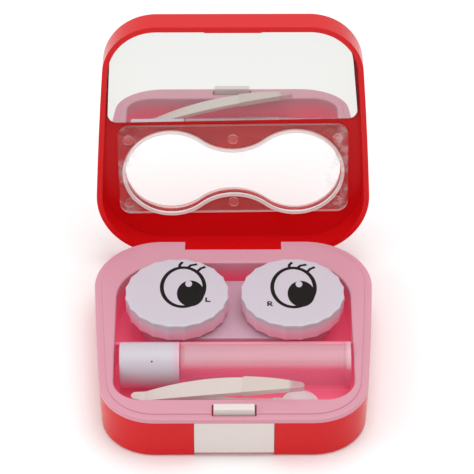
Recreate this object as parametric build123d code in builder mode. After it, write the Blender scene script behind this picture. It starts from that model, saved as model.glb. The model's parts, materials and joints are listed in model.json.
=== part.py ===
"""Contact lens travel case: hinged case with mirror, lens case, bottle, tweezers and applicator.

Millimetres. +Z is up, +X to the user's right, +Y towards the hinge.
The origin is the middle of the base's underside. The lid is stored open.
"""

import os
from math import radians, sin, tan

from build123d import *

os.makedirs("parts", exist_ok=True)

# Case, seen from above
case_depth = 67.3
back_width = 72.0
front_width = 63.9
back_corner = 17.1
front_corner = 13.8
side_bulge = 0.5
wall = 1.5
draft = 0.4

# Case, heights
base_height = 11.3
floor_thickness = 1.2
bottom_round = 0.8
rim_thickness = 1.2
rim_round = 0.35
rim_step = 0.35
step_round = 0.25
ledge_width = 1.9
lid_height = 8.1
lid_round = 1.2
roof = 1.6
lid_wall = 1.4
seat_gap = 0.1

# Opening of the inner tray
opening_width = 59.3
opening_front = -26.7
opening_back = 24.7
opening_back_corner = 13.5
opening_front_corner = 7.2
mouth_round = 0.45
tray_wall = 1.0
tray_gap = 0.1
bay_step = 0.9
bay_margin = 0.5
rib_width = 1.0
rib_gap = 1.05
rib_over = 0.2

# Hinge
hinge_z = 6.8
open_angle = 97.0
knuckle_radius = 1.3
knuckle_gap = 1.15
pin_radius = 0.6
pin_play = 0.05
tongue_width = 24.4
tongue_play = 0.25
lug_width = 4.0
lug_depth = 3.0
lug_margin = 0.5
rest_gap = 0.03

# Latch
panel_width = 19.4
panel_bottom = 1.35
panel_thickness = 1.3
panel_round = 0.3
panel_play = 0.05
neck_inset = 1.0
tab_width = 10.0
tab_top = 14.3
tab_setback = 1.67
tab_depth = 2.2
tab_foot = 1.3
slot_play = 0.45
stem_bottom = 8.0
stem_reach = 0.3
wing_width = 23.0
wing_thickness = 0.7
wing_height = 7.6
wing_raise = 1.0
wing_gap = 0.1
latch_travel = 0.6
latch_gap = 0.1
spring_radius = 1.5
spring_wire = 0.2
spring_coils = 4
lip_width = 14.4
lip_depth = 0.2
lip_height = 0.8

# Window, panel and mirror in the lid
window_y = 12.0
window_radius = 11.9
window_spacing = 32.2
window_waist = 12.4
plate_y = 11.25
plate_width = 59.6
plate_depth = 26.2
plate_thickness = 0.9
plate_corner = 3.0
plate_skew = 0.6
plate_pin_x = 27.2
plate_pin_y = 9.5
plate_pin_radius = 0.9
plate_pin_gap = 0.4
plate_pin_height = 0.4
ridge_width = 0.85
ridge_height = 0.6
plug_height = 1.0
plug_play = 0.4
mirror_edge = -3.7
mirror_gap = 0.5
mirror_corner = 2.5
mirror_thickness = 1.0
mirror_bevel = 0.15
mirror_skew = 1.1
mirror_lean = 1.15
tape_thickness = 0.4
tape_width = 5.0
tape_spacing = 14.0

# Lens case
lens_case_x = 0.35
lens_case_y = 11.2
well_spacing = 29.3
well_radius = 10.2
well_wall = 1.0
well_round = 2.6
flange_radius = 11.1
flange_top = 8.8
flange_thickness = 1.2
flange_round = 0.3
neck_radius = 10.7
neck_top = 13.0
thread_height = 0.3
thread_width = 0.45
thread_pitch = 1.0
cap_radius = 13.2
cap_bottom = 9.6
cap_top = 14.55
cap_disc = 1.35
cap_roof = 1.05
cap_round = 0.25
cap_play = 0.3
skirt_inset = 0.12
scallops = 20
scallop_radius = 5.5
scallop_depth = 0.3
seal_thickness = 0.4
seal_gap = 0.04

# Bottle, lying along X
bottle_y = -9.4
bottle_radius = 5.9
bottle_wall = 0.8
bottle_right = 29.0
shoulder_x = -13.2
shoulder_wall = 1.0
shoulder_round = 0.5
foot_thickness = 1.2
foot_round = 0.4
groove_x = 1.5
groove_width = 0.35
groove_depth = 0.2
shoulder_step = 1.3
bottle_neck_wall = 1.1
bottle_neck_length = 8.2
bottle_cap_inset = 0.1
bottle_cap_length = 14.9
bottle_cap_wall = 0.9
bottle_cap_gap = 0.3
dropper_radius = 1.3
dropper_tip = 0.8
dropper_bore = 0.4
dropper_length = 3.4
dropper_collar = 0.8
dropper_plug = 4.0
liner_thickness = 0.5
liner_gap = 0.15

# Applicator, lying along X
stick_y = -19.7
stick_radius = 1.3
stick_round = 0.9
stick_left = -23.5
stick_right = 11.6
cup_x = 16.3
cup_radius = 4.65
cup_height = 1.8
cup_dish = 0.9
cup_lip = 0.6
socket_wall = 0.2
socket_reach = 2.2

# Tweezers
heel_x = -25.3
heel_y = -20.6
heel_width = 2.4
heel_length = 3.5
heel_height = 2.3
heel_gap = 0.12
tweezer_angle = -5.2
tweezer_length = 42.4
tweezer_widest = 5.8
tweezer_tip_width = 1.5
end_bulge = 0.8
arm_end = 39.3
arm_thickness = 0.9
arm_gap = 0.05
arm_bow = 1.8
arm_rise = 6.6
sleeve_start = 27.5
sleeve_thickness = 0.2

# Positions that follow from the sizes above
half_depth = case_depth / 2
hinge_y = half_depth - knuckle_radius
tab_front = -half_depth + tab_setback
ledge_z = base_height + rim_thickness
lid_edge = ledge_z + seat_gap
lid_top = lid_edge + lid_height
lid_ceiling = lid_top - roof
tray_bottom = floor_thickness + tray_gap
tray_floor = tray_bottom + tray_wall
bay_floor = tray_floor + bay_step
bottle_z = tray_floor + bottle_radius
bottle_neck_radius = bottle_radius - shoulder_step
bottle_cap_radius = bottle_radius - bottle_cap_inset
bay_back = bottle_y - bottle_radius - bay_margin


def case_outline(inset=0.0):
    """The case seen from above, wider at the hinge than at the catch."""
    side_middle = (back_width + front_width) / 4 + side_bulge
    with BuildSketch(mode=Mode.PRIVATE) as outline:
        with BuildLine():
            Line((-back_width / 2, half_depth), (back_width / 2, half_depth))
            ThreePointArc((back_width / 2, half_depth), (side_middle, 0), (front_width / 2, -half_depth))
            Line((front_width / 2, -half_depth), (-front_width / 2, -half_depth))
            ThreePointArc((-front_width / 2, -half_depth), (-side_middle, 0), (-back_width / 2, half_depth))
        make_face()
        fillet(outline.vertices().group_by(Axis.Y)[0], front_corner)
        fillet(outline.vertices().group_by(Axis.Y)[-1], back_corner)
        if inset:
            offset(amount=-inset)
    return outline.sketch


def tray_opening(growth=0.0):
    """The tray's opening, rounded at the back to follow the lens caps."""
    length = opening_back - opening_front
    with BuildSketch(mode=Mode.PRIVATE) as outline:
        with Locations((0, (opening_back + opening_front) / 2)):
            Rectangle(opening_width, length)
        fillet(outline.vertices().group_by(Axis.Y)[-1], opening_back_corner)
        fillet(outline.vertices().group_by(Axis.Y)[0], opening_front_corner)
        if growth:
            offset(amount=growth)
    return outline.sketch


def window_outline(growth=0.0):
    """A peanut: two round lobes joined over a waist by curves that meet both smoothly."""
    lobe_x = window_spacing / 2
    waist = window_waist / 2
    # The waist arc's centre lies on X = 0 and the arc touches each lobe.
    waist_radius = (lobe_x**2 + waist**2 - window_radius**2) / (2 * (window_radius - waist))
    with BuildSketch(mode=Mode.PRIVATE) as outline:
        with Locations((-lobe_x, window_y), (lobe_x, window_y)):
            Circle(window_radius)
        touch = window_radius / (window_radius + waist_radius)
        with Locations((0, window_y)):
            Rectangle(2 * lobe_x * (1 - touch), 2 * (waist + waist_radius) * touch)
        with Locations((0, window_y + waist + waist_radius), (0, window_y - waist - waist_radius)):
            Circle(waist_radius, mode=Mode.SUBTRACT)
        if growth:
            offset(amount=growth)
    return outline.sketch


def opened(piece):
    """Turns a piece of the lid from closed to its stored, open pose."""
    return piece.rotate(Axis((0, hinge_y, hinge_z), (1, 0, 0)), -open_angle)


# Base shell: red outer tray with a latch notch in front and hinge lugs at the back
# The open lid's tongue comes to rest on the sill of the hinge notch.
slope = radians(open_angle)
sill_z = hinge_z - knuckle_radius / sin(slope) + (half_depth - hinge_y) / tan(slope) - rest_gap
notch_width = tongue_width + 2 * tongue_play
lug_x = (notch_width + lug_width) / 2
pin_half_length = notch_width / 2 + lug_width - lug_margin
front_notch_width = panel_width + 2 * latch_gap
with BuildPart() as base_shell:
    with BuildSketch(Plane.XY):
        add(case_outline(draft))
    with BuildSketch(Plane.XY.offset(base_height)):
        add(case_outline())
    loft()
    fillet(base_shell.faces().sort_by(Axis.Z)[0].edges(), bottom_round)
    with BuildSketch(Plane.XY.offset(floor_thickness)):
        add(case_outline(wall))
    extrude(amount=base_height, mode=Mode.SUBTRACT)
    with BuildSketch(Plane.XY.offset(sill_z - lug_margin)):
        with Locations((-lug_x, hinge_y), (lug_x, hinge_y)):
            Rectangle(lug_width, lug_depth - lug_margin, align=(Align.CENTER, Align.MAX))
            Rectangle(lug_width, pin_radius + lug_margin / 2, align=(Align.CENTER, Align.MIN))
    extrude(amount=2 * knuckle_radius + 2 * lug_margin)
    with BuildSketch(Plane.XY.offset(sill_z)):
        with Locations((0, half_depth)):
            Rectangle(notch_width, 2 * lug_depth)
    extrude(amount=base_height, mode=Mode.SUBTRACT)
    with BuildSketch(Plane.XY):
        with Locations((0, -half_depth)):
            Rectangle(front_notch_width, 2 * wall)
    extrude(amount=base_height, mode=Mode.SUBTRACT)
    with BuildSketch(Plane.YZ):
        with Locations((hinge_y, hinge_z)):
            Circle(pin_radius)
    extrude(amount=pin_half_length, both=True, mode=Mode.SUBTRACT)
base_shell.part.label = "base_shell"
export_step(base_shell.part, "parts/base_shell.step")

# Inner tray: pink liner whose rim caps the base wall and carries the lid
tray_notch_front = hinge_y - knuckle_radius - knuckle_gap
slot_width = tab_width + 2 * slot_play
slot_front = tab_front - slot_play
slot_back = tab_front + tab_depth + latch_travel + slot_play
rib_y = bottle_y + bottle_radius + rib_gap + rib_width / 2
with BuildPart() as inner_tray:
    with BuildSketch(Plane.XY.offset(base_height)):
        add(case_outline())
    extrude(amount=rim_thickness)
    fillet(inner_tray.faces().sort_by(Axis.Z)[-1].edges(), rim_round)
    with BuildSketch(Plane.XY.offset(ledge_z)):
        add(case_outline(ledge_width))
    extrude(amount=rim_step)
    fillet(inner_tray.faces().sort_by(Axis.Z)[-1].edges(), step_round)
    with BuildSketch(Plane.XY.offset(tray_bottom)):
        add(tray_opening(tray_wall))
    extrude(amount=base_height - tray_bottom)
    fillet(inner_tray.faces().sort_by(Axis.Z)[0].edges(), bottom_round)
    with BuildSketch(Plane.XY.offset(tray_floor)):
        add(tray_opening())
    extrude(amount=base_height, mode=Mode.SUBTRACT)
    fillet(inner_tray.faces().sort_by(Axis.Z)[-1].inner_wires()[0].edges(), mouth_round)
    with BuildSketch(Plane.XY.offset(tray_floor)):
        add(tray_opening())
        with Locations((0, bay_back)):
            Rectangle(opening_width, opening_width, align=(Align.CENTER, Align.MIN), mode=Mode.SUBTRACT)
    extrude(amount=bay_step)
    with BuildSketch(Plane.XY.offset(tray_floor)):
        with Locations((0, rib_y)):
            Rectangle(opening_width, rib_width)
    extrude(amount=flange_top - tray_floor + rib_over)
    with BuildSketch(Plane.XY.offset(base_height)):
        with Locations((0, tray_notch_front)):
            Rectangle(notch_width, case_depth, align=(Align.CENTER, Align.MIN))
        with Locations((0, slot_front)):
            Rectangle(slot_width, slot_back - slot_front, align=(Align.CENTER, Align.MIN))
    extrude(amount=base_height, mode=Mode.SUBTRACT)
inner_tray.part.label = "inner_tray"
export_step(inner_tray.part, "parts/inner_tray.step")

# Hinge pin: steel, held in the lugs, with play in the lid's knuckle
with BuildPart() as hinge_pin:
    with BuildSketch(Plane.YZ):
        with Locations((hinge_y, hinge_z)):
            Circle(pin_radius)
    extrude(amount=pin_half_length, both=True)
hinge_pin.part.label = "hinge_pin"
export_step(hinge_pin.part, "parts/hinge_pin.step")

# Latch button: panel in the base's notch, wings that hold it in, and a tab through the rim
panel_back = -half_depth + panel_thickness
wing_front = -half_depth + wall + wing_gap
wing_back = wing_front + wing_thickness
panel_top = base_height - panel_play
with BuildPart() as latch_button:
    with BuildSketch(Plane.XY.offset(panel_bottom)):
        with Locations((0, -half_depth)):
            Rectangle(panel_width, panel_thickness, align=(Align.CENTER, Align.MIN))
    extrude(amount=panel_top - panel_bottom)
    fillet(latch_button.edges().filter_by(Axis.X).sort_by(Axis.Y)[:2], panel_round)
    with BuildSketch(Plane.XY.offset(panel_bottom + wing_raise)):
        with Locations((0, wing_front)):
            Rectangle(wing_width, wing_thickness, align=(Align.CENTER, Align.MIN))
        with Locations((0, panel_back)):
            Rectangle(panel_width - 2 * neck_inset, wing_back - panel_back, align=(Align.CENTER, Align.MIN))
    extrude(amount=wing_height)
    with BuildSketch(Plane.XY.offset(stem_bottom)):
        with Locations((0, panel_back)):
            Rectangle(tab_width, wing_back - panel_back + stem_reach, align=(Align.CENTER, Align.MIN))
    extrude(amount=panel_top - stem_bottom)
    with BuildSketch(Plane.XY.offset(base_height - tab_foot)):
        with Locations((0, tab_front)):
            Rectangle(tab_width, tab_depth, align=(Align.CENTER, Align.MIN))
    extrude(amount=tab_top - base_height + tab_foot)
    fillet(latch_button.faces().sort_by(Axis.Z)[-1].edges(), panel_round)
latch_button.part.label = "latch_button"
export_step(latch_button.part, "parts/latch_button.step")

# Latch spring: coil between the wings and the tray's front wall
spring_front = wing_back + spring_wire
spring_back = opening_front - tray_wall - spring_wire
spring_z = (tray_floor + stem_bottom) / 2
with BuildPart() as latch_spring:
    with BuildLine():
        coil = Helix(
            pitch=(spring_back - spring_front) / spring_coils,
            height=spring_back - spring_front,
            radius=spring_radius,
            center=(0, spring_front, spring_z),
            direction=(0, 1, 0),
        )
    with BuildSketch(Plane(origin=coil @ 0, z_dir=coil % 0)):
        Circle(spring_wire)
    sweep()
latch_spring.part.label = "latch_spring"
export_step(latch_spring.part, "parts/latch_spring.step")

# Lid shell: red lid with the window, the catch lip, locating pins and the hinge tongue
lid_inner_front = -half_depth + lid_wall
pin_rows = (window_y - plate_pin_y, window_y + plate_pin_y)
plate_pins = [(x, y) for x in (-plate_pin_x, 0, plate_pin_x) for y in pin_rows]
with BuildPart() as lid_shell:
    with BuildSketch(Plane.XY.offset(lid_edge)):
        add(case_outline())
    extrude(amount=lid_height)
    fillet(lid_shell.faces().sort_by(Axis.Z)[-1].edges(), lid_round)
    with BuildSketch(Plane.XY.offset(lid_edge)):
        add(case_outline(lid_wall))
    extrude(amount=lid_height - roof, mode=Mode.SUBTRACT)
    with BuildSketch(Plane.XY.offset(lid_edge)):
        with Locations((0, lid_inner_front)):
            Rectangle(lip_width, lip_depth, align=(Align.CENTER, Align.MIN))
    extrude(amount=lip_height)
    with BuildSketch(Plane.XY.offset(lid_ceiling - plate_pin_height)):
        with Locations(*plate_pins):
            Circle(plate_pin_radius)
    extrude(amount=plate_pin_height)
    with BuildSketch(Plane.XY.offset(lid_ceiling)):
        add(window_outline())
    extrude(amount=roof, mode=Mode.SUBTRACT)
    with BuildSketch(Plane.YZ):
        with Locations((hinge_y, hinge_z)):
            Circle(knuckle_radius)
            Rectangle(2 * knuckle_radius, lid_edge - hinge_z + lid_wall, align=(Align.CENTER, Align.MIN))
    extrude(amount=tongue_width / 2, both=True)
    with BuildSketch(Plane.YZ):
        with Locations((hinge_y, hinge_z)):
            Circle(pin_radius + pin_play)
    extrude(amount=tongue_width, both=True, mode=Mode.SUBTRACT)
lid_shell.part = opened(lid_shell.part)
lid_shell.part.label = "lid_shell"
export_step(lid_shell.part, "parts/lid_shell.step")

# Window panel: clear plate glued over the window, with a ridge inside and a plug in the window
panel_plane = Plane((0, 0, lid_ceiling)).rotated((0, 0, -plate_skew))
with BuildPart() as window_panel:
    with BuildSketch(panel_plane.offset(-plate_thickness)):
        with Locations((0, plate_y)):
            RectangleRounded(plate_width, plate_depth, plate_corner)
    extrude(amount=plate_thickness)
    with BuildSketch(panel_plane):
        with Locations(*plate_pins):
            Circle(plate_pin_radius + plate_pin_gap)
    extrude(amount=-plate_pin_height - seat_gap, mode=Mode.SUBTRACT)
    with BuildSketch(panel_plane.offset(-plate_thickness)):
        add(window_outline(ridge_width))
        add(window_outline(), mode=Mode.SUBTRACT)
    extrude(amount=-ridge_height)
    with BuildSketch(panel_plane):
        add(window_outline(-plug_play))
    extrude(amount=plug_height)
window_panel.part = opened(window_panel.part)
window_panel.part.label = "window_panel"
export_step(window_panel.part, "parts/window_panel.step")

# Mirror: glass that follows the front of the lid, with a straight lower edge, leaning a little
mirror_plane = Plane((0, 0, lid_ceiling - tape_thickness)).rotated((mirror_lean, 0, -mirror_skew))
with BuildPart() as lid_mirror:
    with BuildSketch(mirror_plane) as glass:
        add(case_outline(lid_wall + mirror_gap))
        with Locations((0, mirror_edge)):
            Rectangle(back_width, case_depth, align=(Align.CENTER, Align.MIN), mode=Mode.SUBTRACT)
        fillet(glass.vertices().group_by(Axis.Y)[-1], mirror_corner)
    extrude(amount=-mirror_thickness)
    chamfer(lid_mirror.faces().sort_by(Axis.Z)[0].edges(), mirror_bevel)
lid_mirror.part = opened(lid_mirror.part)
lid_mirror.part.label = "lid_mirror"
export_step(lid_mirror.part, "parts/lid_mirror.step")

# Mirror tape: two foam strips between the lid and the glass, cut to the glass's lean
tape_length = front_width - 2 * front_corner
with BuildPart() as mirror_tape:
    with BuildSketch(Plane.XY.offset(lid_ceiling)):
        with Locations((0, mirror_edge - tape_width), (0, mirror_edge - tape_width - tape_spacing)):
            Rectangle(tape_length, tape_width)
    extrude(amount=-tape_thickness - mirror_thickness)
    split(bisect_by=mirror_plane, keep=Keep.TOP)
mirror_tape.part = opened(mirror_tape.part)
mirror_tape.part.label = "mirror_tape"
export_step(mirror_tape.part, "parts/mirror_tape.step")

# Lens case body: two wells with screw necks, joined by a bridge plate
left_x = lens_case_x - well_spacing / 2
right_x = lens_case_x + well_spacing / 2
wells = Locations((left_x, lens_case_y), (right_x, lens_case_y))
flange_bottom = flange_top - flange_thickness
with BuildPart() as lens_case_body:
    with BuildSketch(Plane.XY.offset(flange_bottom)):
        with wells:
            Circle(flange_radius)
        with Locations((lens_case_x, lens_case_y)):
            Rectangle(well_spacing, 2 * flange_radius)
    extrude(amount=flange_thickness)
    fillet(lens_case_body.edges().filter_by(Plane.XY), flange_round)
    with BuildSketch(Plane.XY.offset(tray_floor)):
        with wells:
            Circle(well_radius)
    extrude(amount=flange_top - tray_floor)
    fillet(lens_case_body.faces().sort_by(Axis.Z)[:2].edges(), well_round)
    with BuildSketch(Plane.XY.offset(flange_top)):
        with wells:
            Circle(neck_radius)
    extrude(amount=neck_top - flange_top)
    for turn in range(1, 4):
        with BuildSketch(Plane.XY.offset(flange_top + turn * thread_pitch)):
            with wells:
                Circle(neck_radius + thread_height)
        extrude(amount=thread_width)
    with BuildSketch(Plane.XY.offset(tray_floor + well_wall)):
        with wells:
            Circle(well_radius - well_wall)
    extrude(amount=neck_top, mode=Mode.SUBTRACT)
    well_floors = lens_case_body.faces().filter_by(Plane.XY).group_by(Axis.Z)[1]
    fillet(well_floors.edges(), well_round - well_wall / 2)
lens_case_body.part.label = "lens_case_body"
export_step(lens_case_body.part, "parts/lens_case_body.step")


def lens_cap(x):
    """A screw cap with a scalloped rim and a ribbed skirt, open below."""
    ceiling = cap_top - cap_roof
    with BuildPart(mode=Mode.PRIVATE) as cap:
        with BuildSketch(Plane.XY.offset(cap_bottom)):
            with Locations((x, lens_case_y)):
                Circle(cap_radius - skirt_inset)
        extrude(amount=ceiling - cap_bottom)
        with BuildSketch(Plane.XY.offset(cap_top - cap_disc)):
            with Locations((x, lens_case_y)):
                Circle(cap_radius)
        extrude(amount=cap_disc)
        with BuildSketch(Plane.XY.offset(cap_bottom)):
            with Locations((x, lens_case_y)):
                with PolarLocations(cap_radius + scallop_radius - scallop_depth, scallops):
                    Circle(scallop_radius)
        extrude(amount=cap_top, mode=Mode.SUBTRACT)
        fillet(cap.faces().sort_by(Axis.Z)[-1].edges(), cap_round)
        with BuildSketch(Plane.XY.offset(cap_bottom)):
            with Locations((x, lens_case_y)):
                Circle(neck_radius + thread_height + cap_play)
        extrude(amount=ceiling - cap_bottom, mode=Mode.SUBTRACT)
    return cap.part


def cap_seal(x):
    """A disc that sits on the well's neck, inside the cap."""
    with BuildPart(mode=Mode.PRIVATE) as seal:
        with BuildSketch(Plane.XY.offset(neck_top + seal_gap)):
            with Locations((x, lens_case_y)):
                Circle(neck_radius)
        extrude(amount=seal_thickness)
    return seal.part


# Lens caps and their seals, left and right
with BuildPart() as lens_cap_left:
    add(lens_cap(left_x))
lens_cap_left.part.label = "lens_cap_left"
export_step(lens_cap_left.part, "parts/lens_cap_left.step")

with BuildPart() as lens_cap_right:
    add(lens_cap(right_x))
lens_cap_right.part.label = "lens_cap_right"
export_step(lens_cap_right.part, "parts/lens_cap_right.step")

with BuildPart() as cap_seal_left:
    add(cap_seal(left_x))
cap_seal_left.part.label = "cap_seal_left"
export_step(cap_seal_left.part, "parts/cap_seal_left.step")

with BuildPart() as cap_seal_right:
    add(cap_seal(right_x))
cap_seal_right.part.label = "cap_seal_right"
export_step(cap_seal_right.part, "parts/cap_seal_right.step")

# Bottle body: turned profile with a shoulder, a neck and a grooved foot
bottle_axis = Plane(origin=(0, bottle_y, bottle_z), x_dir=(1, 0, 0), z_dir=(0, -1, 0))
neck_left = shoulder_x - bottle_neck_length
neck_bore = bottle_neck_radius - bottle_neck_wall
with BuildPart() as bottle_body:
    with BuildSketch(bottle_axis) as body_profile:
        with BuildLine():
            Polyline(
                (neck_left, neck_bore),
                (neck_left, bottle_neck_radius),
                (shoulder_x, bottle_neck_radius),
                (shoulder_x, bottle_radius),
                (bottle_right, bottle_radius),
                (bottle_right, 0),
                (bottle_right - foot_thickness, 0),
                (bottle_right - foot_thickness, bottle_radius - bottle_wall),
                (shoulder_x + shoulder_wall, bottle_radius - bottle_wall),
                (shoulder_x + shoulder_wall, neck_bore),
                close=True,
            )
        make_face()
        shoulder_corner, foot_corner = body_profile.vertices().group_by(Axis.Y)[-1].sort_by(Axis.X)
        fillet(shoulder_corner, shoulder_round)
        fillet(foot_corner, foot_round)
        with Locations((bottle_right - groove_x, bottle_radius)):
            Rectangle(groove_width, 2 * groove_depth, mode=Mode.SUBTRACT)
    revolve(axis=Axis((0, bottle_y, bottle_z), (1, 0, 0)))
bottle_body.part.label = "bottle_body"
export_step(bottle_body.part, "parts/bottle_body.step")

# Bottle nozzle: dropper plug pressed into the neck
dropper_end = neck_left - dropper_length
collar_left = neck_left - dropper_collar
plug_bore = neck_bore - bottle_wall
with BuildPart() as bottle_nozzle:
    with BuildSketch(bottle_axis):
        with BuildLine():
            Polyline(
                (dropper_end, dropper_bore),
                (dropper_end, dropper_tip),
                (collar_left, dropper_radius),
                (collar_left, bottle_neck_radius - groove_depth),
                (neck_left, bottle_neck_radius - groove_depth),
                (neck_left, neck_bore),
                (neck_left + dropper_plug, neck_bore),
                (neck_left + dropper_plug, plug_bore),
                (neck_left, plug_bore),
                (neck_left, dropper_bore),
                close=True,
            )
        make_face()
    revolve(axis=Axis((0, bottle_y, bottle_z), (1, 0, 0)))
bottle_nozzle.part.label = "bottle_nozzle"
export_step(bottle_nozzle.part, "parts/bottle_nozzle.step")

# Bottle cap: plain cup over the neck, with a liner disc against its end
cap_right = shoulder_x - bottle_cap_gap
cap_left = cap_right - bottle_cap_length
liner_x = dropper_end - liner_gap
with BuildPart() as bottle_cap:
    with BuildSketch(Plane.YZ.offset(cap_left)):
        with Locations((bottle_y, bottle_z)):
            Circle(bottle_cap_radius)
    extrude(amount=bottle_cap_length)
    fillet(bottle_cap.edges().group_by(Axis.X)[0], shoulder_round)
    with BuildSketch(Plane.YZ.offset(cap_right)):
        with Locations((bottle_y, bottle_z)):
            Circle(bottle_cap_radius - bottle_cap_wall)
    extrude(amount=-(cap_right - liner_x) - liner_thickness, mode=Mode.SUBTRACT)
bottle_cap.part.label = "bottle_cap"
export_step(bottle_cap.part, "parts/bottle_cap.step")

with BuildPart() as bottle_liner:
    with BuildSketch(Plane.YZ.offset(liner_x)):
        with Locations((bottle_y, bottle_z)):
            Circle(bottle_cap_radius - bottle_cap_wall)
    extrude(amount=-liner_thickness)
bottle_liner.part.label = "bottle_liner"
export_step(bottle_liner.part, "parts/bottle_liner.step")

# Suction cup: dished disc with a socket for the stick
stick_z = bay_floor + stick_radius + socket_wall
dish_radius = ((cup_radius - cup_lip) ** 2 + cup_dish**2) / (2 * cup_dish)
with BuildPart() as suction_cup:
    with BuildSketch(Plane.XY.offset(bay_floor)):
        with Locations((cup_x, stick_y)):
            Circle(cup_radius)
    extrude(amount=cup_height)
    with BuildSketch(Plane.YZ.offset(cup_x - cup_radius - socket_reach)):
        with Locations((stick_y, stick_z)):
            Circle(stick_radius + socket_wall)
    extrude(amount=2 * socket_reach)
    with BuildSketch(Plane.XY.offset(bay_floor + cup_height)):
        with Locations((cup_x, stick_y)):
            Circle(cup_radius - cup_lip)
    extrude(amount=stick_radius * 3, mode=Mode.SUBTRACT)
    with Locations((cup_x, stick_y, bay_floor + cup_height - cup_dish + dish_radius)):
        Sphere(dish_radius, mode=Mode.SUBTRACT)
    with BuildSketch(Plane.YZ.offset(stick_left)):
        with Locations((stick_y, stick_z)):
            Circle(stick_radius)
    extrude(amount=stick_right - stick_left, mode=Mode.SUBTRACT)
suction_cup.part.label = "suction_cup"
export_step(suction_cup.part, "parts/suction_cup.step")

# Applicator stick: slim rod with a rounded free end
with BuildPart() as applicator_stick:
    with BuildSketch(Plane.YZ.offset(stick_left)):
        with Locations((stick_y, stick_z)):
            Circle(stick_radius)
    extrude(amount=stick_right - stick_left)
    fillet(applicator_stick.edges().group_by(Axis.X)[0], stick_round)
applicator_stick.part.label = "applicator_stick"
export_step(applicator_stick.part, "parts/applicator_stick.step")

# Tweezers, drawn from the heel along their own length
tweezer_plane = Plane((heel_x, heel_y, 0)).rotated((0, 0, tweezer_angle))
tweezer_side = Plane(tweezer_plane.origin, x_dir=tweezer_plane.x_dir, z_dir=-tweezer_plane.y_dir)
arm_bottom = stick_z + stick_radius + socket_wall + arm_gap
arm_top = arm_bottom + arm_thickness
heel_top = arm_bottom + heel_height
upper_bottom = heel_top - arm_thickness


def leaf(growth=0.0):
    """A tweezer arm seen from above: narrow heel, wide middle, slim tip."""
    middle = (tweezer_length / 2, tweezer_widest / 2 + growth)
    heel = (end_bulge, heel_width / 2 + growth)
    tip = (tweezer_length + growth - end_bulge, tweezer_tip_width / 2 + growth)
    with BuildSketch(mode=Mode.PRIVATE) as outline:
        with BuildLine():
            ThreePointArc(heel, middle, tip)
            ThreePointArc(tip, (tweezer_length + growth, 0), (tip[0], -tip[1]))
            ThreePointArc((tip[0], -tip[1]), (middle[0], -middle[1]), (heel[0], -heel[1]))
            ThreePointArc((heel[0], -heel[1]), (-growth, 0), heel)
        make_face()
    return outline.sketch


def upper_side(growth=0.0):
    """The upper arm seen from the side: it springs up from the heel in an arc."""
    top = heel_top + growth
    bottom = upper_bottom - growth
    tip = tweezer_length + 1
    middle = (heel_length + tip) / 2
    crest = arm_bow + arm_rise / 2
    with BuildSketch(mode=Mode.PRIVATE) as outline:
        with BuildLine():
            heel_over = Line((-1, top), (heel_length, top))
            heel_under = Line((-1, bottom), (heel_length, bottom))
            over = ThreePointArc((heel_length, top), (middle, top + crest), (tip, top + arm_rise))
            under = ThreePointArc((heel_length, bottom), (middle, bottom + crest), (tip, bottom + arm_rise))
            Line(heel_over @ 0, heel_under @ 0)
            Line(over @ 1, under @ 1)
        make_face()
    return outline.sketch


def beyond(distance):
    """Everything from a distance along the tweezers to past their tips, seen from above."""
    with BuildSketch(mode=Mode.PRIVATE) as outline:
        with Locations((distance, 0)):
            Rectangle(tweezer_length, 2 * tweezer_widest, align=(Align.MIN, Align.CENTER))
    return outline.sketch


def hard_arm():
    """The stiff part of an arm, which stops inside its soft sleeve."""
    with BuildSketch(mode=Mode.PRIVATE) as outline:
        add(leaf())
        add(beyond(arm_end), mode=Mode.SUBTRACT)
    return outline.sketch


def soft_sleeve():
    """The sleeve over an arm's end, a little wider and longer than the arm."""
    with BuildSketch(mode=Mode.PRIVATE) as outline:
        add(leaf(sleeve_thickness))
        add(beyond(sleeve_start), mode=Mode.INTERSECT)
    return outline.sketch


# Lower arm, with the heel block that the upper arm springs from
arm_space = 2 * (heel_height + arm_rise)
with BuildPart() as tweezer_lower_arm:
    with BuildSketch(tweezer_plane.offset(arm_bottom)):
        add(hard_arm())
    extrude(amount=arm_thickness)
    with BuildSketch(tweezer_plane.offset(arm_top)):
        add(leaf())
        add(beyond(heel_length), mode=Mode.SUBTRACT)
    extrude(amount=upper_bottom - heel_gap - arm_top)
tweezer_lower_arm.part.label = "tweezer_lower_arm"
export_step(tweezer_lower_arm.part, "parts/tweezer_lower_arm.step")

# Upper arm, bowed
with BuildPart() as tweezer_upper_arm:
    with BuildSketch(tweezer_plane.offset(arm_bottom)):
        add(hard_arm())
    extrude(amount=arm_space)
    with BuildSketch(tweezer_side):
        add(upper_side())
    extrude(amount=2 * tweezer_widest, both=True, mode=Mode.INTERSECT)
tweezer_upper_arm.part.label = "tweezer_upper_arm"
export_step(tweezer_upper_arm.part, "parts/tweezer_upper_arm.step")

# Soft sleeves over the tips
with BuildPart() as tweezer_tip_lower:
    with BuildSketch(tweezer_plane.offset(arm_bottom)):
        add(soft_sleeve())
    extrude(amount=arm_thickness + sleeve_thickness)
    add(tweezer_lower_arm.part, mode=Mode.SUBTRACT)
tweezer_tip_lower.part.label = "tweezer_tip_lower"
export_step(tweezer_tip_lower.part, "parts/tweezer_tip_lower.step")

with BuildPart() as tweezer_tip_upper:
    with BuildSketch(tweezer_plane.offset(arm_bottom)):
        add(soft_sleeve())
    extrude(amount=arm_space)
    with BuildSketch(tweezer_side):
        add(upper_side(sleeve_thickness))
    extrude(amount=2 * tweezer_widest, both=True, mode=Mode.INTERSECT)
    add(tweezer_upper_arm.part, mode=Mode.SUBTRACT)
tweezer_tip_upper.part.label = "tweezer_tip_upper"
export_step(tweezer_tip_upper.part, "parts/tweezer_tip_upper.step")
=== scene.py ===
import json
import math

import bpy
from mathutils import Matrix, Vector


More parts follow.
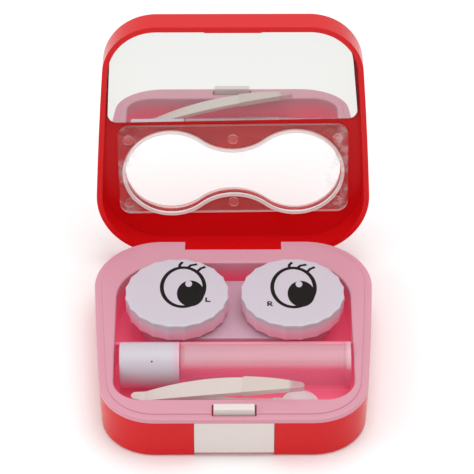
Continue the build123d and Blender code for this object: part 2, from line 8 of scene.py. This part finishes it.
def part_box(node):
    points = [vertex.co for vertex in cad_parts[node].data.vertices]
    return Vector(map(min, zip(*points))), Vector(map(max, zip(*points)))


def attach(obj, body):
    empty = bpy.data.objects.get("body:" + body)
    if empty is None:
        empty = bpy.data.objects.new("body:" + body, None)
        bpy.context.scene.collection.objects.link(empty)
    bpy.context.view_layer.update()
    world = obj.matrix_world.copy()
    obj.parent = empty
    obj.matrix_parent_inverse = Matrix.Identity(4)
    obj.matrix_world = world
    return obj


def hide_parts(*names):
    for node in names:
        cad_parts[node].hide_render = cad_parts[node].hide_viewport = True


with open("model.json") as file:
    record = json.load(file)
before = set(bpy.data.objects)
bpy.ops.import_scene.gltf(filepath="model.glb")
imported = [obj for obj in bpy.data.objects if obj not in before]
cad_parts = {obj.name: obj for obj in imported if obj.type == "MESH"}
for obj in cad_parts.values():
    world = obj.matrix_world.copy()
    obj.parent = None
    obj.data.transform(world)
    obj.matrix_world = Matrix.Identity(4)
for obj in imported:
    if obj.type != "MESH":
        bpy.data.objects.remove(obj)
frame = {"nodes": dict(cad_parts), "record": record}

MM = 0.001
hinge = [joint for joint in frame["record"]["behaviour"]["joints"] if joint["name"] == "lid_hinge"][0]
open_degrees = hinge["range_deg"][1]
hinge_back = hinge["pos_m"][1] / MM
hinge_height = hinge["pos_m"][2] / MM
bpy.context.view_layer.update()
nodes = frame["nodes"]


# ---------------------------------------------------------------- camera, light and floor

def place_camera():
    """40 degrees above the case, straight on, with a long lens."""
    elevation = math.radians(39.69)
    yaw = math.radians(0.22)
    distance = 0.7332
    target = Vector((0, 0.03241, 0.015))
    forward = Vector((
        math.sin(yaw) * math.cos(elevation),
        math.cos(yaw) * math.cos(elevation),
        -math.sin(elevation),
    ))
    right = Vector((math.cos(yaw), -math.sin(yaw), 0))
    up = right.cross(forward)
    data = bpy.data.cameras.new("camera")
    data.sensor_width = 36
    data.lens = 215.2
    data.shift_x = 0.0082
    data.clip_start = 0.05
    data.clip_end = 10
    camera = bpy.data.objects.new("camera", data)
    bpy.context.scene.collection.objects.link(camera)
    axes = Matrix((right, up, -forward)).transposed().to_4x4()
    camera.matrix_world = Matrix.Translation(target - forward * distance) @ axes
    bpy.context.scene.camera = camera


def area_light(name, place, aim, size, power):
    data = bpy.data.lights.new(name, "AREA")
    data.shape = "RECTANGLE"
    data.size = size[0]
    data.size_y = size[1]
    data.energy = power
    lamp = bpy.data.objects.new(name, data)
    bpy.context.scene.collection.objects.link(lamp)
    lamp.location = place
    lamp.rotation_mode = "QUATERNION"
    lamp.rotation_quaternion = (Vector(aim) - Vector(place)).to_track_quat("-Z", "Y")


def light_studio():
    scene = bpy.context.scene
    world = bpy.data.worlds.new("studio")
    world.use_nodes = True
    sky = world.node_tree.nodes["Background"]
    sky.inputs["Color"].default_value = (1, 1, 1, 1)
    sky.inputs["Strength"].default_value = 0.8
    scene.world = world
    area_light("top_box", (0.1, 0.05, 0.75), (0, 0.02, 0), (0.7, 0.5), 2.4)
    area_light("left_box", (-0.65, -0.25, 0.45), (0, 0.02, 0.02), (0.4, 0.5), 1.0)
    scene.view_settings.view_transform = "Standard"
    scene.view_settings.look = "None"
    scene.view_settings.exposure = 0
    scene.view_settings.gamma = 1


def make_floor():
    mesh = bpy.data.meshes.new("floor")
    reach = 3.0
    corners = [(-reach, -reach, 0), (reach, -reach, 0), (reach, reach, 0), (-reach, reach, 0)]
    mesh.from_pydata(corners, [], [(0, 1, 2, 3)])
    floor = bpy.data.objects.new("floor", mesh)
    bpy.context.scene.collection.objects.link(floor)
    mat, shader, tree = new_material("floor_white", (0.95, 0.95, 0.95), 0.6)
    mesh.materials.append(mat)


# ---------------------------------------------------------------- material helpers

def new_material(name, color, roughness):
    mat = bpy.data.materials.new(name)
    mat.use_nodes = True
    tree = mat.node_tree
    shader = tree.nodes["Principled BSDF"]
    shader.inputs["Base Color"].default_value = (*color, 1)
    shader.inputs["Roughness"].default_value = roughness
    return mat, shader, tree


def noise(tree, scale, detail=3.0, rough=0.55):
    """A noise texture in object coordinates, metres."""
    coords = tree.nodes.new("ShaderNodeTexCoord")
    node = tree.nodes.new("ShaderNodeTexNoise")
    node.inputs["Scale"].default_value = scale
    node.inputs["Detail"].default_value = detail
    node.inputs["Roughness"].default_value = rough
    tree.links.new(coords.outputs["Object"], node.inputs["Vector"])
    return node.outputs["Fac"]


def along(tree, axis, start, end):
    """0 at start and 1 at end along an object axis, millimetres."""
    coords = tree.nodes.new("ShaderNodeTexCoord")
    split = tree.nodes.new("ShaderNodeSeparateXYZ")
    tree.links.new(coords.outputs["Object"], split.inputs["Vector"])
    node = tree.nodes.new("ShaderNodeMapRange")
    node.interpolation_type = "SMOOTHSTEP"
    node.inputs["From Min"].default_value = start * MM
    node.inputs["From Max"].default_value = end * MM
    tree.links.new(split.outputs[axis], node.inputs["Value"])
    return node.outputs["Result"]


def spread(tree, value, low, high, start=0.3, end=0.7):
    """Maps start to end onto low to high."""
    node = tree.nodes.new("ShaderNodeMapRange")
    node.inputs["From Min"].default_value = start
    node.inputs["From Max"].default_value = end
    node.inputs["To Min"].default_value = low
    node.inputs["To Max"].default_value = high
    tree.links.new(value, node.inputs["Value"])
    return node.outputs["Result"]


def times(tree, a, b):
    node = tree.nodes.new("ShaderNodeMath")
    node.operation = "MULTIPLY"
    for socket, value in zip(node.inputs, (a, b)):
        if isinstance(value, float):
            socket.default_value = value
        else:
            tree.links.new(value, socket)
    return node.outputs["Value"]


def add_up(tree, a, b):
    node = tree.nodes.new("ShaderNodeMath")
    node.operation = "ADD"
    tree.links.new(a, node.inputs[0])
    tree.links.new(b, node.inputs[1])
    return node.outputs["Value"]


def mix_color(tree, factor, a, b):
    node = tree.nodes.new("ShaderNodeMix")
    node.data_type = "RGBA"
    for socket, value in (("A", a), ("B", b)):
        target = [s for s in node.inputs if s.name == socket and s.type == "RGBA"][0]
        if isinstance(value, tuple):
            target.default_value = (*value, 1)
        else:
            tree.links.new(value, target)
    factor_socket = [s for s in node.inputs if s.name == "Factor" and s.type == "VALUE"][0]
    if isinstance(factor, float):
        factor_socket.default_value = factor
    else:
        tree.links.new(factor, factor_socket)
    return [s for s in node.outputs if s.type == "RGBA"][0]


def bump(tree, shader, height, strength, distance):
    node = tree.nodes.new("ShaderNodeBump")
    node.inputs["Strength"].default_value = strength
    node.inputs["Distance"].default_value = distance
    tree.links.new(height, node.inputs["Height"])
    tree.links.new(node.outputs["Normal"], shader.inputs["Normal"])


def moulded(tree, shader, color, roughness):
    """Faint colour drift, uneven gloss and a slight ripple, over a colour or a colour socket."""
    shade = noise(tree, 60, 2.0)
    dark = mix_color(tree, 0.05, color, (0, 0, 0))
    tree.links.new(mix_color(tree, shade, dark, color), shader.inputs["Base Color"])
    gloss = spread(tree, noise(tree, 160, 2.0), roughness * 0.9, roughness * 1.12)
    tree.links.new(gloss, shader.inputs["Roughness"])
    bump(tree, shader, noise(tree, 240, 1.0), 0.03, 0.00003)


def plastic(name, color, roughness, glow=0.0):
    """Moulded plastic, with glow as the share of light that scatters below the surface."""
    mat, shader, tree = new_material(name, color, roughness)
    moulded(tree, shader, color, roughness)
    shader.inputs["Subsurface Weight"].default_value = glow
    shader.inputs["Subsurface Radius"].default_value = (0.001, 0.0005, 0.0004)
    shader.inputs["Subsurface Scale"].default_value = 1.0
    return mat


# ---------------------------------------------------------------- materials

def lid_normal():
    """The way the open lid's inner face looks, out of the lid."""
    lean = math.radians(open_degrees - 90)
    return (0, -math.cos(lean), math.sin(lean))


def lid_depth(height):
    """How far out a layer of the lid lies along lid_normal, from its height with the lid shut."""
    turn = math.radians(open_degrees)
    rise = height - hinge_height
    y = hinge_back + rise * math.sin(turn)
    z = hinge_height + rise * math.cos(turn)
    normal = lid_normal()
    return y * normal[1] + z * normal[2]


def along_direction(tree, direction):
    """Millimetres along a direction, from object coordinates."""
    coords = tree.nodes.new("ShaderNodeTexCoord")
    dot = tree.nodes.new("ShaderNodeVectorMath")
    dot.operation = "DOT_PRODUCT"
    dot.inputs[1].default_value = direction
    tree.links.new(coords.outputs["Object"], dot.inputs[0])
    return times(tree, dot.outputs["Value"], 1000.0)


def edge_mask(tree):
    """1 on the edge faces of a plate that lies in the lid, 0 on its two broad faces."""
    facing = tree.nodes.new("ShaderNodeNewGeometry")
    dot = tree.nodes.new("ShaderNodeVectorMath")
    dot.operation = "DOT_PRODUCT"
    dot.inputs[1].default_value = lid_normal()
    tree.links.new(facing.outputs["True Normal"], dot.inputs[0])
    size = tree.nodes.new("ShaderNodeMath")
    size.operation = "ABSOLUTE"
    tree.links.new(dot.outputs["Value"], size.inputs[0])
    return spread(tree, size.outputs["Value"], 1.0, 0.0, 0.75, 0.95)


def veil(mat, share):
    """Lets light straight through, except for the share that the moulding itself shows."""
    tree = mat.node_tree
    shader = tree.nodes["Principled BSDF"]
    clear = tree.nodes.new("ShaderNodeBsdfTransparent")
    mix = tree.nodes.new("ShaderNodeMixShader")
    if isinstance(share, float):
        mix.inputs["Fac"].default_value = share
    else:
        tree.links.new(share, mix.inputs["Fac"])
    tree.links.new(clear.outputs["BSDF"], mix.inputs[1])
    tree.links.new(shader.outputs["BSDF"], mix.inputs[2])
    tree.links.new(mix.outputs["Shader"], tree.nodes["Material Output"].inputs["Surface"])


def painted_glow(tree, shader, color, strength):
    """Painted glow: emission standing in for light that has come through thin walls from outside."""
    shader.inputs["Emission Color"].default_value = (*color, 1)
    if isinstance(strength, float):
        shader.inputs["Emission Strength"].default_value = strength
    else:
        tree.links.new(strength, shader.inputs["Emission Strength"])


def shell_red():
    """Glossy red shell with a faint painted glow: emission standing in for light that comes through
    its wall.
    """
    mat = plastic("red_shell", (0.58, 0.004, 0.006), 0.24)
    shader = mat.node_tree.nodes["Principled BSDF"]
    shader.inputs["Specular IOR Level"].default_value = 0.25
    # Painted glow: a faint even emission over the whole shell.
    painted_glow(mat.node_tree, shader, (0.5, 0.002, 0.004), 0.12)
    return mat


def liner_pink():
    """Thin pink liner, redder towards the bottom of the tray: partly the red shell showing through,
    partly painted red bounce light, with a painted glow that grows with depth.
    """
    mat, shader, tree = new_material("pink_liner", (0.7, 0.3, 0.4), 0.32)
    depth = along(tree, "Z", 12.8, 7.5)
    # Partly painted bounce light: the pink turns deeper red further down the tray.
    shade = mix_color(tree, depth, (0.63, 0.285, 0.36), (0.72, 0.12, 0.21))
    moulded(tree, shader, shade, 0.32)
    # Painted glow: emission that grows towards the bottom of the tray.
    painted_glow(tree, shader, (0.62, 0.06, 0.12), times(tree, depth, 0.34))
    return mat


def mirror_glass():
    """Silvered glass, a little grey, with near-black edge faces."""
    mat, shader, tree = new_material("mirror_glass", (0.80, 0.81, 0.79), 0.015)
    edge = edge_mask(tree)
    # The edge faces are coloured near black and are not metallic.
    shade = mix_color(tree, edge, (0.80, 0.81, 0.79), (0.02, 0.025, 0.025))
    tree.links.new(shade, shader.inputs["Base Color"])
    tree.links.new(spread(tree, edge, 0.9, 0.0, 0.0, 1.0), shader.inputs["Metallic"])
    gloss = spread(tree, noise(tree, 120, 3.0), 0.0, 0.02)
    tree.links.new(gloss, shader.inputs["Roughness"])
    return mat


def steel():
    mat, shader, tree = new_material("steel", (0.6, 0.6, 0.61), 0.3)
    shader.inputs["Metallic"].default_value = 1.0
    gloss = spread(tree, noise(tree, 900, 4.0), 0.22, 0.4)
    tree.links.new(gloss, shader.inputs["Roughness"])
    return mat


def clear_panel():
    """Clear plate: painted highlights on its edges and moulded ridge, and cloudy smears of glue
    towards the ends.
    """
    mat, shader, tree = new_material("clear_panel", (0.90, 0.88, 0.87), 0.08)
    smear = spread(tree, noise(tree, 260, 5.0, 0.65), 0.0, 1.0, 0.5, 0.62)
    left_end = along(tree, "X", -22.0, -29.0)
    right_end = along(tree, "X", 22.0, 29.0)
    cloudy = times(tree, smear, add_up(tree, left_end, right_end))
    haze = spread(tree, cloudy, 0.07, 0.34, 0.0, 1.0)
    # With the lid shut, the plate's inner face is 18.2 mm up and the ridge stands 0.6 mm below it.
    plate_face = lid_depth(18.2)
    outward = along_direction(tree, lid_normal())
    # Painted highlights: the moulded ridge and the plate's edge faces are made less clear, so they
    # show as pale bright lines.
    ridge = spread(tree, outward, 0.0, 0.62, plate_face + 0.1, plate_face + 0.5)
    edges = spread(tree, edge_mask(tree), 0.0, 0.5, 0.0, 1.0)
    veil(mat, add_up(tree, add_up(tree, haze, ridge), edges))
    bump(tree, shader, noise(tree, 700, 3.0), 0.05, 0.00005)
    return mat


def frosted(name, color, share, roughness=0.3):
    """Milky plastic that shows what is behind it softly."""
    mat = plastic(name, color, roughness)
    veil(mat, share)
    return mat


def cap_skirt():
    """Milky skirt with painted pink light: pinker towards its lower edge for the liner's pink
    reflected onto it, and a painted glow all over.
    """
    mat, shader, tree = new_material("cap_skirt", (0.6, 0.5, 0.6), 0.4)
    # Painted reflection: pink from the liner, stronger towards the lower edge.
    shade = mix_color(tree, along(tree, "Z", 13.0, 10.2), (0.58, 0.43, 0.50), (0.68, 0.30, 0.40))
    moulded(tree, shader, shade, 0.4)
    # Painted glow: an even pink emission that lifts the skirt out of its shade.
    painted_glow(tree, shader, (0.72, 0.36, 0.46), 0.16)
    return mat


def bottle_cap_white():
    """White cap with painted pink light: pinker underneath and towards its open end, for the tray's
    pink light falling there.
    """
    mat, shader, tree = new_material("bottle_cap_white", (0.6, 0.5, 0.6), 0.4)
    # Painted reflection: pink from the tray, stronger towards the underside.
    low = along(tree, "Z", 11.0, 5.0)
    shade = mix_color(tree, low, (0.56, 0.51, 0.57), (0.70, 0.36, 0.45))
    # Painted light: pink towards the open end, for the tray's light coming through the thin end.
    shade = mix_color(tree, along(tree, "X", -15.5, -14.0), shade, (0.66, 0.42, 0.50))
    moulded(tree, shader, shade, 0.4)
    return mat


def bottle_milky():
    """Thin milky wall: clearer below with a pink tint, a painted sheen along the top that makes it
    paler and less clear there, and less clear towards the right end.
    """
    mat, shader, tree = new_material("bottle_plastic", (0.8, 0.6, 0.7), 0.2)
    high = along(tree, "Z", 10.5, 12.6)
    foot = along(tree, "X", 27.3, 28.3)
    # Painted sheen: paler colour along the top, over a pink tint lower down.
    shade = mix_color(tree, high, (0.78, 0.22, 0.35), (0.82, 0.64, 0.71))
    moulded(tree, shader, shade, 0.2)
    # Painted sheen: the wall is less clear along the top; lower down it lets most light straight
    # through.
    body = spread(tree, high, 0.06, 0.30, 0.0, 1.0)
    veil(mat, add_up(tree, body, times(tree, foot, 0.3)))
    return mat


def sleeve_cream():
    """Cream sleeve, clearer past the end of the hard arm."""
    mat, shader, tree = new_material("soft_sleeve", (0.6, 0.5, 0.45), 0.45)
    tip = along(tree, "X", 13.0, 14.5)
    shade = mix_color(tree, tip, (0.62, 0.53, 0.48), (0.66, 0.42, 0.46))
    moulded(tree, shader, shade, 0.45)
    veil(mat, spread(tree, tip, 0.95, 0.6, 0.0, 1.0))
    return mat


red = shell_red()
pink = liner_pink()
white = plastic("white_button", (0.74, 0.66, 0.63), 0.35, 0.1)
cap_white = plastic("cap_white", (0.56, 0.51, 0.57), 0.4)
skirt_painted_light = cap_skirt()
milky = frosted("milky_plastic", (0.66, 0.44, 0.54), 0.75)
bottle_plastic = bottle_milky()
tool_white = plastic("tool_white", (0.63, 0.55, 0.52), 0.35, 0.1)
sleeve = sleeve_cream()
soft = frosted("soft_cup", (0.78, 0.70, 0.72), 0.8)
foam = plastic("foam_tape", (0.7, 0.7, 0.66), 0.8)
ink = plastic("black_ink", (0.006, 0.004, 0.004), 0.6)
ink.node_tree.nodes["Principled BSDF"].inputs["Specular IOR Level"].default_value = 0.15


# ---------------------------------------------------------------- pieces

def dress(node, mat):
    """Gives a carried-over CAD node its material and smooth shading across soft edges."""
    obj = nodes[node]
    obj.data.materials.clear()
    obj.data.materials.append(mat)
    for poly in obj.data.polygons:
        poly.material_index = 0
        poly.use_smooth = True
    obj.data.set_sharp_from_angle(angle=math.radians(32))


def new_piece(name, verts, faces, mats, body, smooth=35, face_mats=None):
    """A mesh piece in millimetres of the shared frame, riding on a body."""
    mesh = bpy.data.meshes.new(name)
    mesh.from_pydata([[c * MM for c in v] for v in verts], [], faces)
    for mat in mats:
        mesh.materials.append(mat)
    for index, poly in enumerate(mesh.polygons):
        poly.use_smooth = True
        poly.material_index = face_mats[index] if face_mats else 0
    mesh.validate()
    mesh.set_sharp_from_angle(angle=math.radians(smooth))
    obj = bpy.data.objects.new(name, mesh)
    bpy.context.scene.collection.objects.link(obj)
    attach(obj, body)
    return obj


def centre_mm(node):
    low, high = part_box(node)
    return [(low[i] + high[i]) / 2 / MM for i in range(3)]


def lens_cap(side):
    """A screw cap: opaque scalloped disc over a ribbed skirt, whose pinker colour and glow are painted
    light.
    """
    node = "lens_cap_" + side
    cx, cy, _ = centre_mm(node)
    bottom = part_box(node)[0][2] / MM
    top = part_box(node)[1][2] / MM
    radius = 13.2
    bore = 11.3
    scallops = 20
    scallop_depth = 0.3
    skirt_inset = 0.2
    rib_height = 0.06
    foot_bevel = 0.15
    soft_edge = 0.3
    roof = 1.05
    disc_thickness = 1.35
    face = top - 0.05
    ceiling = top - roof
    disc = top - disc_thickness
    steps = 12 * scallops

    def rim(angle):
        return radius - scallop_depth * abs(math.cos(scallops * angle / 2))

    def skirt(angle):
        rib = rib_height * max(0.0, math.cos(2 * scallops * angle)) ** 4
        return rim(angle) - skirt_inset + rib

    # Each row is a ring's reach at an angle, its height, and the material up to the next ring:
    # 0 is the disc's and 1 the skirt's.
    rows = [
        (lambda a: 0.0, ceiling, 0),
        (lambda a: bore - soft_edge, ceiling, 0),
        (lambda a: bore, ceiling - soft_edge, 1),
        (lambda a: bore, bottom, 1),
        (lambda a: skirt(a) - foot_bevel, bottom, 1),
        (lambda a: skirt(a), bottom + foot_bevel, 1),
        (lambda a: skirt(a), disc, 0),
        (lambda a: rim(a) - 0.1, disc, 0),
        (lambda a: rim(a), disc + 0.12, 0),
        (lambda a: rim(a), top - soft_edge, 0),
        (lambda a: rim(a) - 0.09, top - 0.13, 0),
        (lambda a: rim(a) - soft_edge, top - 0.06, 0),
        (lambda a: radius - 1.3, face, 0),
        (lambda a: 0.0, face, 0),
    ]
    verts = []
    for reach, z, _ in rows:
        for step in range(steps):
            angle = 2 * math.pi * step / steps
            r = reach(angle)
            verts.append((cx + r * math.cos(angle), cy + r * math.sin(angle), z))
    faces = []
    face_mats = []
    for row in range(len(rows) - 1):
        lower = row * steps
        upper = lower + steps
        for step in range(steps):
            after = (step + 1) % steps
            faces.append((lower + step, lower + after, upper + after, upper + step))
            face_mats.append(rows[row][2])
    # The skirt takes a copy of the cap's white carrying painted pink light and a painted glow.
    mats = (cap_white, skirt_painted_light)
    piece = new_piece(node + "_moulding", verts, faces, mats, side + "_cap", 25, face_mats)
    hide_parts(node)
    return cx, cy, face


def ribbon(points, width, closed=False):
    """Corner points of a flat stroke through the points: left side, then right side."""
    count = len(points)
    left = []
    right = []
    for i, (x, y) in enumerate(points):
        if closed:
            before, after = points[i - 1], points[(i + 1) % count]
        else:
            before, after = points[max(i - 1, 0)], points[min(i + 1, count - 1)]
        dx, dy = after[0] - before[0], after[1] - before[1]
        length = math.hypot(dx, dy) or 1.0
        nx, ny = -dy / length * width / 2, dx / length * width / 2
        left.append((x + nx, y + ny))
        right.append((x - nx, y - ny))
    faces = [(i, i + 1, count + i + 1, count + i) for i in range(count - 1)]
    if closed:
        faces.append((count - 1, 0, count, 2 * count - 1))
    return left + right, faces


def arc(centre, radii, start, end, steps=24):
    """Points along an ellipse, angles in degrees."""
    points = []
    for i in range(steps + 1):
        angle = math.radians(start + (end - start) * i / steps)
        points.append((centre[0] + radii[0] * math.cos(angle), centre[1] + radii[1] * math.sin(angle)))
    return points


def print_marks(name, shapes, place, mat, body, lift=0.0):
    """Ink shapes laid on a cap's flat top as thin films, each a little higher than the one before."""
    cx, cy, z = place
    verts = []
    faces = []
    film = 0.02
    layer_step = 0.002
    for layer, (points, shape_faces) in enumerate(shapes):
        start = len(verts)
        top = z + lift + film + layer_step * layer
        count = len(points)
        for x, y in points:
            verts.append((cx + x, cy + y, z + lift))
        for x, y in points:
            verts.append((cx + x, cy + y, top))
        for face in shape_faces:
            faces.append(tuple(start + i for i in reversed(face)))
            faces.append(tuple(start + count + i for i in face))
    new_piece(name, verts, faces, (mat,), body, smooth=1)


def filled(points):
    """A flat shape whose outline is the points."""
    return points, [tuple(range(len(points)))]


def eye_print(side, place, middle, letter, letter_place):
    """A plain printed eye, looking to the lower right, with three lashes, and the side's letter."""
    mx, my = middle
    outline_radii = (5.4, 7.6)
    outline_width = 1.0
    pupil_radii = (3.45, 5.0)
    glint_radii = (0.85, 1.2)
    lash_width = 0.75
    outline = arc(middle, outline_radii, 0, 360, 72)[:-1]
    pupil = arc((mx + 1.9, my - 2.5), pupil_radii, 0, 360, 60)[:-1]
    lashes = [
        [(mx - 1.0, my + 7.7), (mx - 0.9, my + 8.8), (mx - 0.2, my + 9.8)],
        [(mx + 0.9, my + 7.3), (mx + 1.9, my + 8.5), (mx + 3.5, my + 8.9)],
        [(mx + 3.4, my + 5.8), (mx + 4.4, my + 7.2), (mx + 5.6, my + 7.9)],
    ]
    shapes = [filled(pupil), ribbon(outline, outline_width, closed=True)]
    shapes += [ribbon(lash, lash_width) for lash in lashes]
    shapes += letter_strokes(letter, letter_place)
    print_marks("eye_print_" + side, shapes, place, ink, side + "_cap")
    glint = filled(arc((mx + 1.4, my + 1.2), glint_radii, 0, 360, 32)[:-1])
    print_marks("eye_glint_" + side, [glint], place, cap_white, side + "_cap", lift=0.02)


def letter_strokes(letter, place):
    """A small L or R drawn with strokes."""
    x, y = place
    width = 1.1
    height = 1.7
    line = 0.42
    bowl_line = 0.34
    stem = ribbon([(x, y), (x, y + height)], line)
    if letter == "L":
        return [stem, ribbon([(x - line / 2, y + line / 2), (x + width, y + line / 2)], line)]
    bowl = arc((x + 0.3, y + height - 0.5), (0.6, 0.42), 90, -90, 10)
    loop = [(x, y + height - 0.08)] + bowl + [(x, y + height - 0.92)]
    leg = ribbon([(x + 0.35, y + height - 0.9), (x + width, y)], line)
    return [stem, ribbon(loop, bowl_line), leg]


def gate_mark():
    """The small dark moulding mark on the side of the bottle cap that faces up and forward."""
    cx, cy, cz = centre_mm("bottle_cap")
    cap_radius = 5.8
    lean = math.radians(38)
    offset_x = 0.7
    spot = 0.22
    sunk = -0.05
    proud = 0.01
    sides = 16
    verts = []
    for depth in (sunk, proud):
        for i in range(sides):
            turn = 2 * math.pi * i / sides
            around = lean + spot * math.sin(turn) / cap_radius
            r = cap_radius + depth
            x = cx + offset_x + spot * math.cos(turn)
            verts.append((x, cy - r * math.sin(around), cz + r * math.cos(around)))
    faces = [tuple(range(sides, 2 * sides)), tuple(reversed(range(sides)))]
    faces += [(i, (i + 1) % sides, sides + (i + 1) % sides, sides + i) for i in range(sides)]
    new_piece("bottle_cap_gate_mark", verts, faces, (ink,), "bottle_top")


# ---------------------------------------------------------------- the scene

place_camera()
light_studio()
make_floor()

for node, mat in {
    "base_shell": red, "lid_shell": red, "inner_tray": pink, "latch_button": white,
    "lens_cap_left": cap_white, "lens_cap_right": cap_white, "bottle_cap": bottle_cap_white(),
    "lens_case_body": milky, "bottle_nozzle": milky, "bottle_body": bottle_plastic,
    "window_panel": clear_panel(), "lid_mirror": mirror_glass(), "mirror_tape": foam,
    "cap_seal_left": foam, "cap_seal_right": foam, "bottle_liner": foam,
    "hinge_pin": steel(), "latch_spring": steel(),
    "tweezer_lower_arm": tool_white, "tweezer_upper_arm": tool_white,
    "tweezer_tip_lower": sleeve, "tweezer_tip_upper": sleeve,
    "applicator_stick": tool_white, "suction_cup": soft,
}.items():
    dress(node, mat)

left_top = lens_cap("left")
right_top = lens_cap("right")
eye_print("left", left_top, (1.55, 2.0), "L", (7.4, -3.8))
eye_print("right", right_top, (0.25, 1.75), "R", (-6.3, -5.4))
gate_mark()
